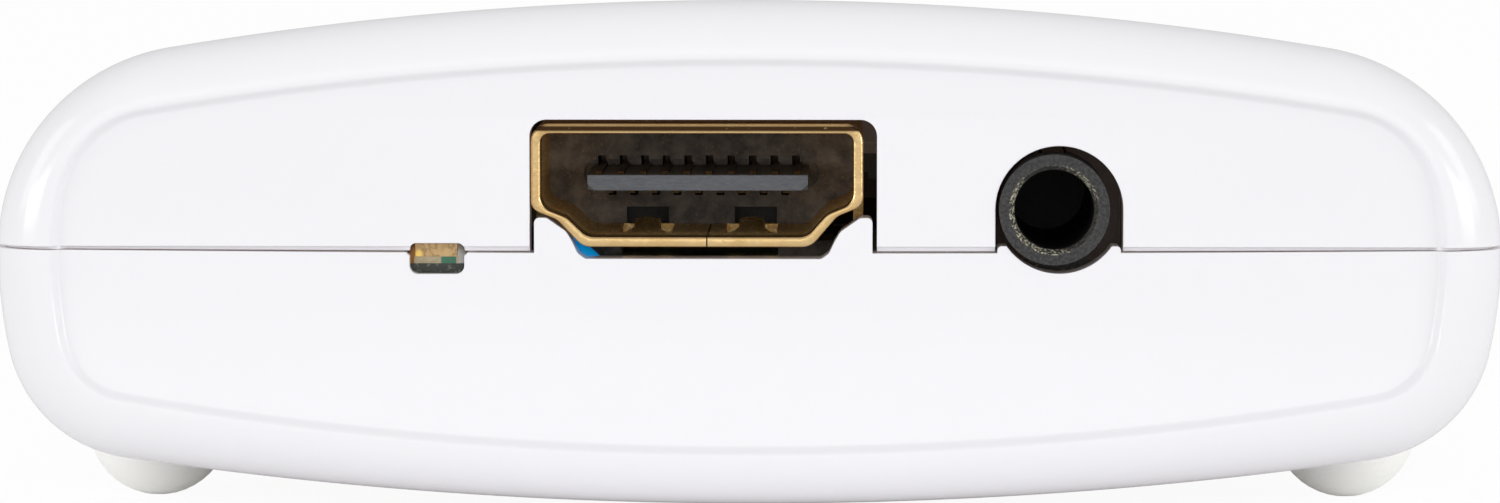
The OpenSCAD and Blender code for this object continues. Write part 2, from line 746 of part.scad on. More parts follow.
// Outline of the video socket's shell, moved inwards by e
module video_outline(e) {
  w = video_w / 2 - e;
  f = video_floor_w - e * 0.36;
  s = video_shoulder + e * 0.2;
  r = max(0.3, video_r - e);
  polygon(rounded([[-w, video_h - e, r], [w, video_h - e, r],
    [w, s, 0.45 + e * 0.3], [w - shoulder_w, s - shoulder_fall, 0.4], [f, e, 0.5],
    [-f, e, 0.5], [-w + shoulder_w, s - shoulder_fall, 0.4], [-w, s, 0.45 + e * 0.3]]));
}

// Repeats its children at the two retention springs, on the shell's floor
module at_spring(sx) {
  translate([video_x + spring_centre + sx * spring_pitch / 2, video_y + spring_root, video_z]) children();
}

module video_socket_shell() color("gold") lift() {
  difference() {
    translate([video_x, 0, video_z]) along_y(video_y, video_l) difference() {
      video_outline(0);
      video_outline(video_t);
      translate([seam_x, -1]) square([seam_w, 1 + video_t + cut]);
    }
    for (sx = [-1, 1]) at_spring(sx)
      translate([-spring_w / 2 - spring_slot_gap, -spring_slot_gap, -1])
        cube([spring_w + 2 * spring_slot_gap, spring_l + 2 * spring_slot_gap, 1 + video_t + cut]);
  }
  at_legs() translate([0, 0, board_bottom - leg_below])
    cube([video_t, leg_w, video_z + video_shoulder + 1 - board_bottom + leg_below]);
}

// A retention spring's side view: the strip rises to a crest and dips to its tip
function spring_line() = [[0, 0], [0.9, 0.02], [spring_l * 0.62, spring_rise], [spring_l * 0.74, spring_rise],
  [spring_l, spring_rise * 0.35]];

module retention_spring(sx) color("gold") lift() at_spring(sx) {
  line = spring_line();
  n = len(line) - 1;
  floor_z = video_t - spring_t;
  translate([-spring_w / 2, 0, floor_z]) rotate([90, 0, 90]) linear_extrude(spring_w) polygon(concat(
    [for (i = [0 : n]) line[i]], [for (i = [n : -1 : 0]) line[i] + [0, spring_t]]));
}
module retention_spring_left() retention_spring(-1);
module retention_spring_right() retention_spring(1);

function top_contact_x(i) = video_x + (i - 4.5) * contact_pitch;
function low_contact_x(i) = video_x + (i - 4) * contact_pitch;

module contact_slot(x, z0, z1) {
  w = contact_w / 2 + contact_gap;
  box(x - w, x + w, face_y - 1, insulator_back_y + 1, z0, z1);
}

module video_socket_insulator() color([0.12, 0.11, 0.1]) lift() difference() {
  union() {
    translate([video_x, 0, video_z]) along_y(face_y, video_y + video_l - face_y) video_outline(video_t);
    translate([video_x, 0, video_z])
      along_y(video_y + video_l - cut, insulator_l - video_l + video_face + cut) video_outline(video_t);
    // feet that carry the block on the board
    for (sx = [-1, 1])
      box(video_x + sx * block_foot_x - 1, video_x + sx * block_foot_x + 1, face_y + 1,
          insulator_back_y, board_top, video_z + video_t + cut);
  }
  // the shell's floor carries on under the block, so the feet are cut back around it
  translate([video_x, 0, video_z]) along_y(face_y, video_y + video_l - face_y + cut)
    translate([-5, -cut]) square([10, video_t + cut]);
  // seat of the tongue and the racetrack recess around its root
  box(video_x - tongue_w / 2, video_x + tongue_w / 2, face_y - 1, face_y + tongue_root,
      video_z + tongue_z, video_z + tongue_z + tongue_t);
  translate([video_x, 0, video_z + tongue_z + tongue_t / 2]) along_y(face_y - 1, 1.4)
    polygon(rounded([for (c = [[-1, -1], [1, -1], [1, 1], [-1, 1]])
      [c[0] * race_w / 2, c[1] * race_h / 2, race_h / 2 - 0.04]]));
  // slots that the contacts run through
  for (i = [0 : 9])
    contact_slot(top_contact_x(i), video_z + tongue_z + tongue_t, video_z + slot_top);
  for (i = [0 : 8])
    contact_slot(low_contact_x(i), video_z + slot_bottom, video_z + tongue_z);
  // notches for the tips of the retention springs
  for (sx = [-1, 1]) at_spring(sx)
    box(-spring_w / 2 - 0.1, spring_w / 2 + 0.1, video_face - spring_root - 1, spring_l + 0.5, -1, 1.25);
}

module video_socket_tongue() color([0.37, 0.41, 0.47]) lift()
  translate([video_x, video_y + tongue_set, video_z + tongue_z]) difference() {
    translate([-tongue_w / 2, 0, 0]) cube([tongue_w, video_face - tongue_set + tongue_root, tongue_t]);
    // lower corners of the tip are taken off
    for (sx = [-1, 1]) translate([sx * tongue_w / 2, -1, 0]) rotate([0, 45, 0])
      translate([-0.2, 0, -0.2]) cube([0.4, 1.6, 0.4]);
  }

// A contact lies on the tongue, runs through the block and turns down to the board
module contact(x, z, back) {
  translate([x - contact_w / 2, 0, 0]) rotate([90, 0, 90]) linear_extrude(contact_w) polygon([
    [video_y + tongue_set + 0.5, z], [back, z], [back, board_top], [back + 0.8, board_top],
    [back + 0.8, board_top + contact_t], [back + contact_t, board_top + contact_t],
    [back + contact_t, z + contact_t], [video_y + tongue_set + 0.5, z + contact_t]]);
}

module video_socket_contacts() color("gold") lift() {
  for (i = [0 : 9]) contact(top_contact_x(i), video_z + tongue_z + tongue_t, insulator_back_y + 1.6);
  for (i = [0 : 8]) contact(low_contact_x(i), video_z + tongue_z - contact_t, insulator_back_y + 0.3);
}

// Places a leaf around the bore: its length along Y, its thickness outwards
module at_leaf(turn, bump) {
  translate([jack_x, jack_y + bump - leaf_l + bump_l, jack_z]) rotate([0, turn, 0]) children();
}

module leaf_channel(turn, bump) {
  g = leaf_gap;
  at_leaf(turn, bump) {
    box(leaf_r - g, jack_w, -g, leaf_l + g + 0.3, -leaf_w / 2 - g, leaf_w / 2 + g);
    box(0, leaf_r, leaf_l - 2 * bump_l - g, leaf_l + g, -leaf_w / 2 - g, leaf_w / 2 + g);
  }
}

module leaf(turn, bump) color([0.75, 0.72, 0.62]) lift() at_leaf(turn, bump)
  translate([0, 0, -leaf_w / 2]) linear_extrude(leaf_w) polygon([
    [leaf_r, 0], [leaf_r + leaf_t, 0], [leaf_r + leaf_t, leaf_l], [leaf_r, leaf_l],
    [jack_bore_d / 2 - bump_in, leaf_l - bump_l + 0.2], [jack_bore_d / 2 - bump_in, leaf_l - bump_l - 0.2],
    [leaf_r, leaf_l - 2 * bump_l]]);

module jack_housing() color([0.24, 0.24, 0.25]) lift() difference() {
  union() {
    translate([jack_x, jack_y, jack_z]) rotate([-90, 0, 0])
      cylinder(d = jack_nose_d, h = board_front_y - jack_y + 1, $fn = round_fn);
    box(jack_x - jack_w / 2, jack_x + jack_w / 2, board_front_y, jack_back_y,
        jack_z - jack_h / 2, jack_z + jack_h / 2);
  }
  translate([jack_x, jack_y - cut, jack_z]) rotate([-90, 0, 0]) {
    cylinder(d = jack_bore_d, h = jack_bore_l + cut, $fn = round_fn);
    cylinder(d1 = jack_mouth_d, d2 = jack_bore_d, h = mouth_l, $fn = round_fn);
  }
  leaf_channel(180, tip_bump);
  leaf_channel(0, ring_bump);
  leaf_channel(-90, sleeve_bump);
}
module jack_tip_leaf() leaf(180, tip_bump);
module jack_ring_leaf() leaf(0, ring_bump);
module jack_sleeve_leaf() leaf(-90, sleeve_bump);

module status_light_base() color([0.75, 0.72, 0.6]) lift()
  box(light_x - light_w / 2, light_x + light_w / 2, light_y + cut, light_y + light_l,
      board_top, board_top + light_base_h);

module status_light_lens() color([0.9, 0.65, 0.3, 0.9]) lift()
  box(light_x - light_w / 2 + 0.05, light_x + light_w / 2 - 0.05, light_y + 0.05,
      light_y + light_l - 0.05, board_top + light_base_h, board_top + light_h);

// Route of the jumper wire: from the board's top, over its front edge and back
// under it. Across from wire_x, behind the front rim, above the parting line
wire_route = [[-4.5, 11, 0.1], [-4.1, 7.6, 0.1], [-3.4, 5, 0.3], [-2.5, 3.4, 0.45],
  [-1.7, 3.2, 0.45], [-0.9, 3.2, 0.12], [-0.1, 3.2, -0.45], [0.6, 3.2, -1.15],
  [1.3, 3.25, -2], [1.8, 3.75, -2.85], [2, 5.2, -2.95], [1.9, 8.5, -2.95]];
wire_sides = 10;
wire_steps = 4;

function spline(p0, p1, p2, p3, t) = 0.5 * ((2 * p1) + (p2 - p0) * t
  + (2 * p0 - 5 * p1 + 4 * p2 - p3) * t * t + (3 * p1 - p0 - 3 * p2 + p3) * t * t * t);
function smooth(r) =
  let (n = len(r))
  concat([for (i = [0 : n - 2]) for (j = [0 : wire_steps - 1])
    spline(r[max(i - 1, 0)], r[i], r[i + 1], r[min(i + 2, n - 1)], j / wire_steps)], [r[n - 1]]);
function tube_rings(p, r, sides) =
  let (n = len(p))
  [for (i = [0 : n - 1])
    let (t = unit(p[min(i + 1, n - 1)] - p[max(i - 1, 0)]),
         u = unit(cross(t, [0.3, 0.2, 1])),
         v = cross(t, u))
    [for (k = [0 : sides - 1]) p[i] + r * (u * cos(360 * k / sides) + v * sin(360 * k / sides))]];

module jumper_wire() color([0.1, 0.55, 0.9]) lift() translate([wire_x, front_y, 0])
  loft(tube_rings(smooth(wire_route), wire_d / 2, wire_sides), true);

module data_socket_shell() color("silver") lift() translate([0, 0, data_z])
  along_y(data_y - data_l, data_l) difference() {
    data_outline(0);
    data_outline(-data_t);
  }

module data_socket_insulator() color([0.1, 0.1, 0.1]) lift() {
  translate([0, 0, data_z]) along_y(data_y - data_l, data_block_l) data_outline(-data_t);
  box(-data_tongue_w / 2, data_tongue_w / 2, data_block_y - cut, data_y - 1,
      data_z + data_tongue_z, data_z + data_tongue_z + data_tongue_t);
}

module data_socket_contacts() color("gold") lift()
  for (i = [-2 : 2])
    box(i * data_pitch - data_contact_w / 2, i * data_pitch + data_contact_w / 2, data_block_y,
        data_y - 1.4, data_z + data_tongue_z - data_contact_t, data_z + data_tongue_z);

// Stands its children on the board, across from the middle and behind the rim
module on_board(place) {
  translate([place[0], front_y + place[1], board_top]) children();
}

// A block of width w, length l and height h on the middle of its underside
module block(w, l, h) {
  translate([-w / 2, -l / 2, 0]) cube([w, l, h]);
}

// A chip: a flat block with a round dimple that marks its first pin
module chip(w, l, h) {
  difference() {
    block(w, l, h);
    translate([1 - w / 2, 1 - l / 2, h - 0.1]) cylinder(d = 0.8, h = 1, $fn = round_fn / 2);
  }
}

processor_at = [-1, 32];
memory_at = [-1, 48];
controller_at = [0, 64];
converter_at = [13.5, 24];
crystal_at = [10, 62];
inductor_at = [-14, 60];
capacitors_at = [[-15.5, 40], [-15.5, 47]];

module video_processor() color([0.13, 0.13, 0.14]) lift()
  on_board(processor_at) chip(processor_w, processor_w, processor_h);
module memory_chip() color([0.13, 0.13, 0.14]) lift()
  on_board(memory_at) chip(memory_w, memory_l, memory_h);
module data_controller() color([0.13, 0.13, 0.14]) lift()
  on_board(controller_at) chip(controller_w, controller_w, controller_h);
module audio_converter() color([0.13, 0.13, 0.14]) lift()
  on_board(converter_at) chip(converter_w, converter_w, converter_h);

module crystal() color("silver") lift() on_board(crystal_at) {
  w = crystal_w / 2;
  l = crystal_l / 2;
  r = w - 0.1;
  linear_extrude(crystal_h) polygon(rounded([[-w, -l, r], [w, -l, r], [w, l, r], [-w, l, r]]));
}

module power_inductor() color([0.25, 0.25, 0.25]) lift() on_board(inductor_at) difference() {
  block(inductor_w, inductor_w, inductor_h);
  translate([0, 0, inductor_h - 0.4]) cylinder(d = inductor_w - 2, h = 1, $fn = round_fn);
}

module storage_capacitors() color([0.7, 0.7, 0.72]) lift()
  for (place = capacitors_at) on_board(place) cylinder(d = capacitor_d, h = capacitor_h, $fn = round_fn);

// Rows of small parts beside the chips: first place, step to the next, how many,
// and whether each lies across the box
ceramic_rows = [[[8.5, 25.5], [0, 2.2], 7, true], [[-3, 41], [2, 0], 5, false],
  [[-7, 60.5], [0, 2.2], 4, true]];
resistor_rows = [[[-8.5, 20.5], [1.8, 0], 8, false], [[12, 40], [0, 2], 5, true]];

module small_rows(rows, h) {
  for (row = rows) for (i = [0 : row[2] - 1]) on_board(row[0] + i * row[1])
    block(row[3] ? small_l : small_w, row[3] ? small_w : small_l, h);
}
module ceramic_capacitors() color([0.7, 0.6, 0.45]) lift() small_rows(ceramic_rows, ceramic_h);
module chip_resistors() color([0.1, 0.1, 0.1]) lift() small_rows(resistor_rows, resistor_h);

top_shell();
bottom_shell();
foot_front_left();
foot_front_right();
foot_rear_left();
foot_rear_right();
case_screws();
board_screws();
main_board();
video_socket_shell();
video_socket_insulator();
video_socket_tongue();
video_socket_contacts();
retention_spring_left();
retention_spring_right();
jack_housing();
jack_tip_leaf();
jack_ring_leaf();
jack_sleeve_leaf();
status_light_base();
status_light_lens();
jumper_wire();
data_socket_shell();
data_socket_insulator();
data_socket_contacts();
video_processor();
data_controller();
memory_chip();
audio_converter();
crystal();
power_inductor();
storage_capacitors();
ceramic_capacitors();
chip_resistors();
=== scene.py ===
from math import acos, atan2, cos, pi, radians, sin, tan

import bmesh
import bpy
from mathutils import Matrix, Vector


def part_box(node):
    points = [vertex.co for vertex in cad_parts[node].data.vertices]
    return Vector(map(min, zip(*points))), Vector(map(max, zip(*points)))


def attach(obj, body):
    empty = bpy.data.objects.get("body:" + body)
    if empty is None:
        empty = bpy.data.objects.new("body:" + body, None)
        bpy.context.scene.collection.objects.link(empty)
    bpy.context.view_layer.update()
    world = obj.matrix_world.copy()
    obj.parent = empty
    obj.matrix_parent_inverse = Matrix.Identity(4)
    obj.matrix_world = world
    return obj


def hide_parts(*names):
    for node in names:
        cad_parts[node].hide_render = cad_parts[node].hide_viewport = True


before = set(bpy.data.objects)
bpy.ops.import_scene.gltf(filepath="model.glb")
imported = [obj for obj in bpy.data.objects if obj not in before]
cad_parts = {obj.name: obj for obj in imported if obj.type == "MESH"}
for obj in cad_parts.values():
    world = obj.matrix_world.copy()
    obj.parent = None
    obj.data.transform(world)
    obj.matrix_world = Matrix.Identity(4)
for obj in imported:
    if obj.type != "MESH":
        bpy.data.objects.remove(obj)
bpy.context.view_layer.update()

MM = 0.001

# Camera: the front end seen from a hand's breadth away, a little above the box
# and a little to the right of its middle. The front panel's plane is in scale:
# 22.2 photo pixels to a millimetre over the picture's 1500 pixels.
photo_w = 1500
pixels_per_mm = 22.2
panel_recess = 0.4
post_meet = 1  # how far the upper shell's posts reach below the parting line
shell_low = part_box("top_shell")[0]
front = shell_low[1] / MM
panel_y = front + panel_recess
parting = shell_low[2] / MM + post_meet
eye_away = 300
eye_right = 5
eye_up = 21.8
aim_right = 0.11
aim_up = 0.09

camera_data = bpy.data.cameras.new("camera")
camera = bpy.data.objects.new("camera", camera_data)
bpy.context.scene.collection.objects.link(camera)
eye = Vector((eye_right, panel_y - eye_away, parting + eye_up))
aim = Vector((aim_right, panel_y, parting + aim_up))
camera.location = eye * MM
camera.rotation_euler = (aim - eye).to_track_quat("-Z", "Y").to_euler()
camera_data.sensor_width = 36
camera_data.lens = camera_data.sensor_width * (aim - eye).length * pixels_per_mm / photo_w
camera_data.clip_start = 0.01
camera_data.clip_end = 20
bpy.context.scene.camera = camera


# Case: two injection-moulded shells in glossy white plastic, screwed together
# from below. Each end is a flat panel let into a soft rim, and the rim rounds
# over into the sides. The top slopes down gently from the socket end.
class Socket:
    """A shader value that plus, minus, times and divide work on."""

    def __init__(self, owner, link):
        self.owner = owner
        self.link = link

    def math(self, operation, other, swapped=False):
        pair = (other, self) if swapped else (self, other)
        return self.owner.node("ShaderNodeMath", {"operation": operation}, {0: pair[0], 1: pair[1]})

    def __add__(self, other):
        return self.math("ADD", other)

    __radd__ = __add__

    def __sub__(self, other):
        return self.math("SUBTRACT", other)

    def __rsub__(self, other):
        return self.math("SUBTRACT", other, True)

    def __mul__(self, other):
        return self.math("MULTIPLY", other)

    __rmul__ = __mul__

    def __truediv__(self, other):
        return self.math("DIVIDE", other)

    def __rtruediv__(self, other):
        return self.math("DIVIDE", other, True)

    def above(self, edge, soft):
        """0 below edge and 1 above it, over a soft width."""
        return self.owner.node("ShaderNodeMapRange", {"interpolation_type": "SMOOTHSTEP"},
                               {"Value": self, "From Min": edge - soft / 2, "From Max": edge + soft / 2})

    def between(self, low, high, soft):
        return self.above(low, soft) * (1 - self.above(high, soft))


class Nodes:
    """A node tree, and the nodes that are added to it."""

    def __init__(self, tree):
        self.tree = tree

    def plug(self, entry, value):
        """Gives an input its link, colour or number."""
        if isinstance(value, Socket):
            self.tree.links.new(value.link, entry)
        elif entry.type == "RGBA":
            entry.default_value = (*value, 1)
        else:
            entry.default_value = value

    def node(self, kind, settings=None, sockets=None, out=0):
        made = self.tree.nodes.new(kind)
        for key, value in (settings or {}).items():
            setattr(made, key, value)
        for key, value in (sockets or {}).items():
            self.plug(made.inputs[key], value)
        return Socket(self, made.outputs[out])

    def mix(self, factor, low, high):
        return self.node("ShaderNodeMix", {"data_type": "RGBA"}, {0: factor, 6: low, 7: high}, out=2)


class Paint(Nodes):
    """A material with one Principled shader, and the nodes that feed it."""

    def __init__(self, name, **constants):
        self.material = bpy.data.materials.new(name)
        self.material.use_nodes = True
        super().__init__(self.material.node_tree)
        self.shader = self.tree.nodes["Principled BSDF"]
        for key, value in constants.items():
            self.set(key.replace("_", " ").title(), value)

    def set(self, socket, value):
        self.plug(self.shader.inputs[{"Ior": "IOR"}.get(socket, socket)], value)

    def place(self):
        """Object coordinates in millimetres."""
        here = self.node("ShaderNodeTexCoord", out="Object")
        return self.node("ShaderNodeVectorMath", {"operation": "SCALE"}, {0: here, "Scale": 1 / MM})

    def axis(self, name):
        return self.node("ShaderNodeSeparateXYZ", sockets={0: self.place()}, out=name)

    def noise(self, scale, detail=2, stretch=(1, 1, 1)):
        """Noise from 0 to 1, with scale grains to a millimetre."""
        spot = self.node("ShaderNodeVectorMath", {"operation": "MULTIPLY"}, {0: self.place(), 1: stretch})
        return self.node("ShaderNodeTexNoise", sockets={"Vector": spot, "Scale": scale, "Detail": detail})

    def relief(self, height=None, depth=0.01, edge=0):
        """Bumps of that depth in millimetres, on edges softened over a radius."""
        normal = self.node("ShaderNodeBevel", {"samples": 8}, {"Radius": edge * MM}) if edge else None
        if height is not None:
            sockets = {"Height": height, "Distance": depth * MM, "Strength": 1}
            if normal:
                sockets["Normal"] = normal
            normal = self.node("ShaderNodeBump", sockets=sockets)
        self.set("Normal", normal)
        return self


def colour(*shown):
    """A linear colour from red, green and blue as a picture shows them, 0 to 255."""
    return tuple(v / 255 / 12.92 if v < 11 else ((v / 255 + 0.055) / 1.055) ** 2.4 for v in shown)


def piece(name, points, faces, paint, smooth=35):
    """A mesh object from points in millimetres, smooth where faces meet flatter than that angle."""
    mesh = bpy.data.meshes.new(name)
    mesh.from_pydata([Vector(p) * MM for p in points], [], faces)
    made = bpy.data.objects.new(name, mesh)
    bpy.context.scene.collection.objects.link(made)
    tidy = bmesh.new()
    tidy.from_mesh(mesh)
    bmesh.ops.remove_doubles(tidy, verts=tidy.verts, dist=1e-8)
    bmesh.ops.recalc_face_normals(tidy, faces=tidy.faces)
    tidy.to_mesh(mesh)
    tidy.free()
    mesh.materials.append(paint.material)
    shade(made, smooth)
    return made


def shade(made, smooth):
    mesh = made.data
    mesh.shade_smooth()
    mesh.set_sharp_from_angle(angle=radians(smooth))


def carve(made, operation, others, smooth=35):
    """Cuts other pieces out of a piece, or joins or meets it with them, and drops them."""
    for other in others:
        step = made.modifiers.new("step", "BOOLEAN")
        step.operation = operation
        step.object = other
        step.solver = "MANIFOLD"
    bpy.context.view_layer.update()
    carved = bpy.data.meshes.new_from_object(made.evaluated_get(bpy.context.evaluated_depsgraph_get()))
    made.modifiers.clear()
    old = made.data
    made.data = carved
    bpy.data.meshes.remove(old)
    for other in others:
        bpy.data.meshes.remove(other.data)
    shade(made, smooth)
    return made


def loft(name, rings, paint, smooth=35):
    """A closed solid through rings of equally many points."""
    n = len(rings[0])
    last = (len(rings) - 1) * n
    faces = [list(range(n)), [last + i for i in range(n - 1, -1, -1)]]
    for j in range(len(rings) - 1):
        for i in range(n):
            a, b = j * n + i, j * n + (i + 1) % n
            faces.append([b, a, a + n, b + n])
    return piece(name, [p for ring in rings for p in ring], faces, paint, smooth)


def block(name, low, high, paint):
    """A square-edged block from one corner to the other."""
    (x0, y0, z0), (x1, y1, z1) = low, high
    return loft(name, [[(x0, y, z0), (x1, y, z0), (x1, y, z1), (x0, y, z1)] for y in (y0, y1)], paint)


def rod(name, x, y, r, low, high, paint, sides=64):
    """An upright round rod."""
    turn = [2 * pi * i / sides for i in range(sides)]
    return loft(name, [[(x + r * cos(t), y + r * sin(t), z) for t in turn] for z in (low, high)], paint)


case_l = 92
case_w = 68.2
upper_h = 11.45
lower_h = 11.55
top_slope = radians(2.2)
top_drop = 4
wall = 1.8
end_wall = 2
end_round = 2.6
panel_step = 0.45
reveal_h = 0.3
reveal_d = 0.35
lip_low = 0.075
lip_bow = 0.08
lip_seal = 0.9
edge_bow = 0.13
rim_side = 2.6
rim_top = 2.6
rim_bottom = 2.4
# outlines: the side's radius, the degrees it turns through, the corner's radius
upper_arcs = (9.4, 12, 9.4)
lower_arcs = (22, 12, 6.3)
rim_upper_arcs = (12.3, 14, 4.85)
rim_lower_arcs = (22.5, 10, 3.5)

# The faint warm emission is a painted glow over the whole case, which lightens its shaded hollows.
white = Paint("glossy white plastic", base_color=colour(242, 242, 246), ior=1.47,
              emission_color=colour(255, 214, 190), emission_strength=0.022)
orange_peel = white.noise(0.55, 3)
white.set("Roughness", 0.12 + 0.08 * orange_peel)
white.relief(orange_peel, 0.006, 0.07)


def arc(cx, cy, r, a0, a1, n):
    steps = [a0 + (a1 - a0) * i / n for i in range(n + 1)]
    return [(cx + r * cos(a), cy + r * sin(a)) for a in steps]


def quarter(w, h, side_r, side_a, corner_r, inset, n=(8, 26, 30)):
    """A quarter outline from the side at the parting line up to the middle: three tangent arcs."""
    side_a = radians(side_a)
    cx = w - side_r + (side_r - corner_r) * cos(side_a)
    cz = (side_r - corner_r) * sin(side_a)
    crown_r = (corner_r ** 2 - cx ** 2 - (cz - h) ** 2) / (2 * (corner_r + cz - h))
    meet = atan2(cz - h + crown_r, cx)
    return (arc(w - side_r, 0, side_r - inset, 0, side_a, n[0])
            + arc(cx, cz, corner_r - inset, side_a, meet, n[1])[1:]
            + arc(0, h - crown_r, crown_r - inset, meet, pi / 2, n[2])[1:])


def case_quarter(up, inset):
    if up:
        return quarter(case_w / 2, upper_h, *upper_arcs, inset)
    return quarter(case_w / 2, lower_h, *lower_arcs, inset)


def rim_quarter(up, inset):
    if up:
        return quarter(case_w / 2 - rim_side, upper_h - rim_top, *rim_upper_arcs, inset)
    return quarter(case_w / 2 - rim_side, lower_h - rim_bottom, *rim_lower_arcs, inset)


def half_ring(outline, up, depth):
    """The outline and its mirror image as one ring, with a skirt past the parting line."""
    straight = case_l * tan(top_slope)
    fall = depth * tan(top_slope) + (top_drop - straight) * (depth / case_l) ** 2
    k = (upper_h - fall) / upper_h if up else -1
    edge = -post_meet if up else post_meet
    y = front + depth
    ring = [(x, y, parting + z * k) for x, z in outline]
    ring += [(-x, y, parting + z * k) for x, z in reversed(outline[:-1])]
    side = outline[0][0]
    return [(side, y, parting + edge)] + ring + [(-side, y, parting + edge)]


def blend(a, b, share):
    return [(p[0] + (q[0] - p[0]) * share, p[1] + (q[1] - p[1]) * share) for p, q in zip(a, b)]


def outer_half(name, up, inset):
    """One half's outer form, moved inwards: recessed panel, soft step, rim, rounding and long body."""
    end = []
    steps = 8
    for i in range(steps):
        share = i / steps
        soft = (1 + cos(pi * share)) / 2
        end.append((rim_quarter(up, inset + panel_step * (1 - share)), inset + panel_recess * soft))
    turns = 18
    for i in range(turns + 1):
        a = pi / 2 * i / turns
        end.append((blend(rim_quarter(up, inset), case_quarter(up, inset), sin(a)),
                    inset + (end_round - inset) * (1 - cos(a))))
    rings = [half_ring(outline, up, depth) for outline, depth in end]
    lengths = 28
    body = case_l - 2 * end_round
    rings += [half_ring(case_quarter(up, inset), up, end_round + body * i / lengths)
              for i in range(1, lengths)]
    rings += [half_ring(outline, up, case_l - depth) for outline, depth in reversed(end)]
    return loft(name, rings, white)


def hollow_half(name, up):
    """The room inside one half, behind the end panels."""
    ends = panel_recess + end_wall
    body = case_l - 2 * ends
    lengths = 12
    return loft(name, [half_ring(case_quarter(up, wall), up, ends + body * i / lengths)
                       for i in range(lengths + 1)], white)


def slab(low, high, bow=0, low_bow=0):
    """A slab across the case, whose faces may rise by their bows at 30 mm from the middle."""
    n = 40
    reach = 40
    rings = []
    for i in range(n + 1):
        x = reach * (2 * i / n - 1)
        y0, y1 = front - 5, front + case_l + 5
        z0, z1 = parting + low + low_bow * (x / 30) ** 2, parting + high + bow * (x / 30) ** 2
        rings.append([(x, y0, z1), (x, y1, z1), (x, y1, z0), (x, y0, z0)])
    return loft("slab", rings, white)


def rounded(corners, steps=None):
    """An outline whose corners, each (x, y, radius), are rounded by arcs."""
    points = []
    for i, (x, y, r) in enumerate(corners):
        here = Vector((x, y))
        if r <= 0:
            points.append((x, y))
            continue
        before = (Vector(corners[i - 1][:2]) - here).normalized()
        after = (Vector(corners[(i + 1) % len(corners)][:2]) - here).normalized()
        half = acos(max(-1, min(1, before.dot(after)))) / 2
        middle = here + (before + after).normalized() * r / sin(half)
        start = here + before * r / tan(half) - middle
        finish = here + after * r / tan(half) - middle
        a0 = atan2(start.y, start.x)
        turn = (atan2(finish.y, finish.x) - a0 + 3 * pi) % (2 * pi) - pi
        n = steps or max(2, round(abs(turn) / radians(9)))
        points += [(middle.x + r * cos(a0 + turn * j / n), middle.y + r * sin(a0 + turn * j / n))
                   for j in range(n + 1)]
    return points


def prism(name, outline, y0, y1, paint=white, smooth=35):
    """An outline in X and Z, in millimetres from the parting line, carried along Y."""
    return loft(name, [[(x, y, parting + z) for x, z in outline] for y in (y0, y1)], paint, smooth)


video_cut_x = -2
video_cut_w = 15.65
video_cut_h = 6.03
video_cut_r = 0.75
jack_cut_x = 14.03
jack_cut_r = 2.88
jack_z = 1.98
window_x = -14.01
window_w = 2.47
data_w = 7.7
data_h = 3.9
board_top = -0.52
board_bottom = -2.12
data_z = board_top
past = 1
inside = panel_y + end_wall + past


def video_opening():
    h = video_cut_w / 2
    return prism("video opening", rounded([
        (video_cut_x - h, -1, 0), (video_cut_x + h, -1, 0), (video_cut_x + h, video_cut_h, video_cut_r),
        (video_cut_x - h, video_cut_h, video_cut_r)]), front - past, inside)


def jack_arch():
    outline = [(jack_cut_x - jack_cut_r, -0.3), (jack_cut_x + jack_cut_r, -0.3)]
    outline += arc(jack_cut_x, jack_z, jack_cut_r, 0, pi, 48)
    return prism("jack opening", outline, front - past, inside)


def jack_round():
    return prism("jack notch", arc(jack_cut_x, jack_z, jack_cut_r, 0, 2 * pi, 96)[:-1], front - past, inside)


def light_window():
    h = window_w / 2
    right = [(h, -0.94, 0.38), (h, -0.12, 0), (h + 0.14, 0, 0), (h, 0.12, 0), (h, 0.45, 0.3)]
    left = [(-x, z, r) for x, z, r in reversed(right)]
    outline = rounded([(window_x + x, z, r) for x, z, r in right + left])
    return prism("light window", outline, front - past, inside)


light_x = -14.09


def light_pocket():
    """Pocket inside the end panel for the light and the board's tab."""
    return block("light pocket", (light_x - 1.45, panel_y + 0.6, parting + board_bottom - 0.25),
                 (light_x + 1.45, inside, parting + 0.7), white)


def data_outline(grow):
    w = data_w / 2 + grow
    right = [(w, data_h + grow, 0.6), (w, 1.3 - grow, 0.4), (w - 0.9, -grow, 0.4)]
    left = [(-x, z, r) for x, z, r in reversed(right)]
    return rounded([(x, data_z + z, r) for x, z, r in right + left])


back = front + case_l


def data_opening():
    return prism("data opening", data_outline(0.25), back - end_wall - 2, back + past)


case_post_r = 3.1
case_screws = [(sx * (case_w / 2 - 7.5), y) for sx in (-1, 1) for y in (front + 24, back - 24)]

top = carve(outer_half("top_case", True, 0), "INTERSECT", [slab(reveal_h, 20)])
lip = carve(outer_half("lip", True, reveal_d), "INTERSECT", [slab(lip_low, reveal_h + 0.02, 0, lip_bow)])
carve(top, "UNION", [lip])
seal = carve(outer_half("seal", True, lip_seal), "INTERSECT", [slab(0.01, reveal_h + 0.03, 0, edge_bow)])
carve(top, "UNION", [seal])
carve(top, "DIFFERENCE", [hollow_half("hollow", True)])
posts = [rod("post", x, y, case_post_r, parting - post_meet, parting + upper_h, white)
         for x, y in case_screws]
for post in posts:
    carve(post, "INTERSECT", [outer_half("roof", True, wall / 2)])
carve(top, "UNION", posts)
carve(top, "DIFFERENCE", [video_opening(), jack_arch(), light_window(), light_pocket(), data_opening()])
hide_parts("top_shell")
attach(top, "case")

tab_gap = 0.2
tab_h = 1.6
tab_notch = 0.25


